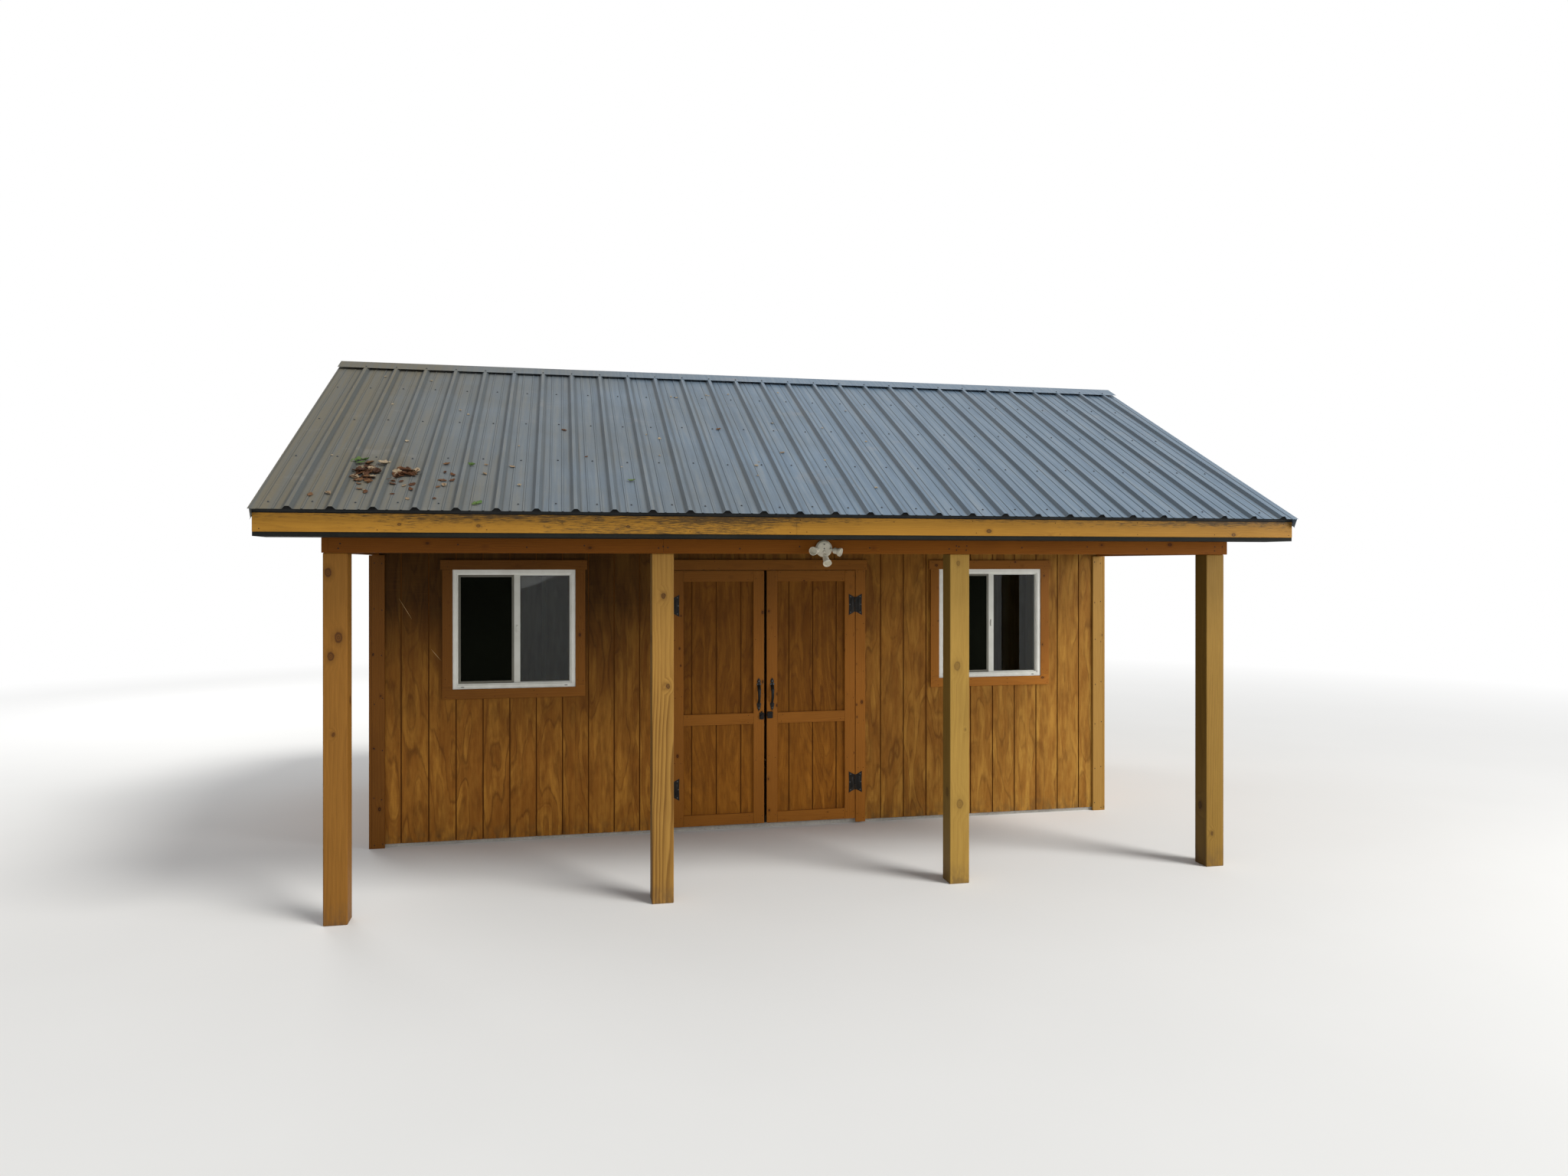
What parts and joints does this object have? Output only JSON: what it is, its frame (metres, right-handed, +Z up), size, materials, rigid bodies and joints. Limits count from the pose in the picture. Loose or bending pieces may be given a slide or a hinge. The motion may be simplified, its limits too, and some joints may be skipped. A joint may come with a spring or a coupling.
{
  "type": "boathouse shed with front porch",
  "caption": "Timber shed on a concrete slab with a deep front porch on square posts, double doors, sliding windows, grooved plywood walls and a ribbed metal gable roof.",
  "frame": {"origin": "on the ground under the middle of the ridge, at the centre of the plan", "axes": "+X to the right along the front, +Y from the porch towards the back wall, +Z up"},
  "size_m": [6.732, 5.1904, 3.8136],
  "materials": {
    "concrete": "cast concrete, rough",
    "post_wood": "treated pine, open grain with knots",
    "beam_wood": "reddish brown stain, satin",
    "framing_lumber": "bare sawn lumber",
    "siding_wood": "grooved plywood, reddish brown stain, matte",
    "trim_wood": "reddish brown stain, satin",
    "fascia_wood": "clear sealed pine with dark weather marks",
    "soffit_panel": "charcoal, matte",
    "roof_metal": "charcoal blue baked enamel, weathered and dusty",
    "white_vinyl": "white vinyl, satin",
    "window_glass": "clear float glass",
    "screen_mesh": "dark woven mesh in a grey frame",
    "black_iron": "black powder coat",
    "light_enamel": "cream enamel, satin"
  },
  "bodies": {
    "building": {"floor_slab": "concrete", "porch_posts": "post_wood", "front_beam": "beam_wood", "side_beams": "beam_wood", "wall_plates": "framing_lumber", "wall_studs": "framing_lumber", "gable_studs": "framing_lumber", "wall_headers": "framing_lumber", "front_siding_left": "siding_wood", "front_siding_right": "siding_wood", "front_siding_over_door": "siding_wood", "back_siding": "siding_wood", "left_siding": "siding_wood", "right_siding": "siding_wood", "corner_boards": "trim_wood", "door_jambs": "trim_wood", "door_casing": "trim_wood", "window_frames": "white_vinyl", "window_sashes": "white_vinyl", "window_glass": "window_glass", "insect_screens": "screen_mesh", "window_trim": "trim_wood", "ceiling_joists": "framing_lumber", "rafters": "framing_lumber", "ridge_board": "framing_lumber", "purlins": "framing_lumber", "front_roof_sheet": "roof_metal", "back_roof_sheet": "roof_metal", "ridge_cap": "roof_metal", "rake_flashing": "roof_metal", "eave_flashing": "roof_metal", "fascia_boards": "fascia_wood", "rake_boards": "fascia_wood", "soffits": "soffit_panel", "rake_soffits": "soffit_panel", "eave_returns": "soffit_panel", "porch_light": "light_enamel", "frame_hinge_leaves": "black_iron"},
    "left_door": {"left_door_panel": "siding_wood", "left_door_trim": "trim_wood", "left_door_hinges": "black_iron", "left_door_pull": "black_iron", "left_door_latch": "black_iron"},
    "right_door": {"right_door_panel": "siding_wood", "right_door_trim": "trim_wood", "right_door_hinges": "black_iron", "right_door_pull": "black_iron", "right_door_latch": "black_iron"}
  },
  "joints": [
    {"name": "left_door_hinge", "type": "hinge", "parent": "building", "child": "left_door", "pos_m": [-0.7595, -0.455, 1.0975], "axis": [0, 0, -1], "range_deg": [0, 165]},
    {"name": "right_door_hinge", "type": "hinge", "parent": "building", "child": "right_door", "pos_m": [0.7825, -0.455, 1.0975], "axis": [0, 0, 1], "range_deg": [0, 165]}
  ]
}
